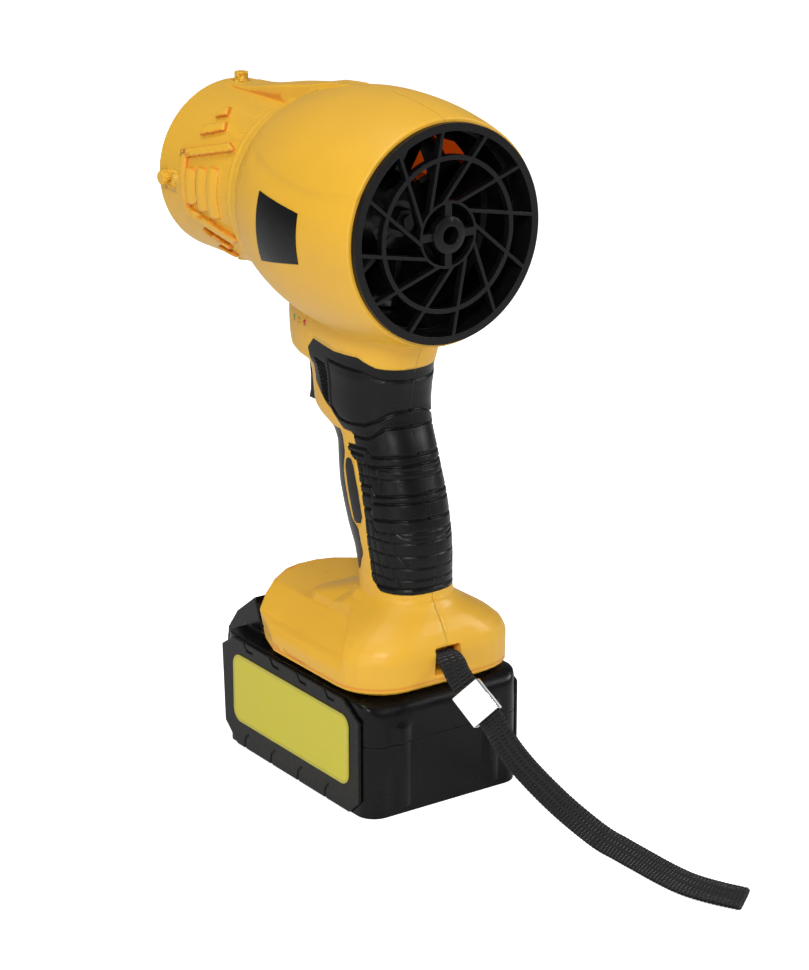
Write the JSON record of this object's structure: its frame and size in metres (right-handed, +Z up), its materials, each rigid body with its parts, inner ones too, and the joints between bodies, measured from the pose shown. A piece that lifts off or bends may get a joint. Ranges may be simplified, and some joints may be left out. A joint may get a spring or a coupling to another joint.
{
  "type": "cordless car dryer blower",
  "caption": "Handheld air blower for drying cars: clamshell barrel with axial fan and black intake guard, pistol grip with sliding trigger, slide-on battery foot, lamps and a wrist strap.",
  "frame": {"origin": "on the floor under the middle of the casing's box, without the wrist strap", "axes": "+X the way the air blows, +Y the left side (the side with the lamps and the label), +Z up"},
  "size_m": [0.2882, 0.0951, 0.2734],
  "materials": {
    "yellow_casing": "satin",
    "black_plastic": "satin",
    "soft_grip": "matte",
    "bare_label": "satin",
    "sticker": "satin",
    "green_lens": "gloss",
    "amber_lens": "gloss",
    "red_lens": "gloss",
    "plain_steel": "satin",
    "bright_metal": "polished",
    "copper_metal": "satin",
    "circuit_board": "satin",
    "cell_wrap": "satin",
    "webbing": "matte"
  },
  "bodies": {
    "blower": {"housing_left": "yellow_casing", "housing_right": "yellow_casing", "intake_guard": "black_plastic", "air_duct": "black_plastic", "stator_vanes": "black_plastic", "tail_cone": "black_plastic", "switch_body": "black_plastic", "terminal_block": "black_plastic", "grip_left": "soft_grip", "grip_right": "soft_grip", "finger_strip": "soft_grip", "side_pads": "soft_grip", "info_label": "bare_label", "led_green": "green_lens", "led_amber": "amber_lens", "led_red": "red_lens", "housing_screws": "plain_steel", "motor_can": "plain_steel", "motor_bearings": "plain_steel", "trigger_spring": "plain_steel", "strap_post": "plain_steel", "strap_slider": "bright_metal", "motor_coils": "copper_metal", "terminal_blades": "copper_metal", "control_board": "circuit_board", "wrist_strap": "webbing"},
    "fan": {"fan_impeller": "black_plastic", "fan_nut": "plain_steel", "motor_shaft": "plain_steel", "motor_rotor": "plain_steel"},
    "trigger": {"trigger": "black_plastic"},
    "battery": {"battery_case_lower": "black_plastic", "battery_case_upper": "black_plastic", "battery_side_left": "black_plastic", "battery_side_right": "black_plastic", "battery_sticker_left": "sticker", "battery_sticker_right": "sticker", "battery_cells": "cell_wrap", "cell_holder_left": "black_plastic", "cell_holder_right": "black_plastic", "nickel_strips": "plain_steel", "battery_board": "circuit_board", "battery_clips": "copper_metal", "battery_screws": "plain_steel", "latch_spring": "plain_steel"},
    "latch": {"latch_button": "black_plastic"}
  },
  "joints": [
    {"name": "fan_spin", "type": "hinge", "parent": "blower", "child": "fan", "pos_m": [0, 0, 0.226], "axis": [1, 0, 0], "continuous": true},
    {"name": "trigger_pull", "type": "slide", "parent": "blower", "child": "trigger", "axis": [-1, 0, 0], "range_m": [0, 0.0065], "stiffness_N_per_m": 800, "springref_m": -0.002, "deforming": ["trigger_spring"]},
    {"name": "battery_slide", "type": "slide", "parent": "blower", "child": "battery", "axis": [1, 0, 0], "range_m": [0, 0.08]},
    {"name": "battery_release", "type": "slide", "parent": "battery", "child": "latch", "axis": [0, 0, -1], "range_m": [0, 0.0045], "stiffness_N_per_m": 600, "springref_m": -0.002, "deforming": ["latch_spring"]}
  ]
}
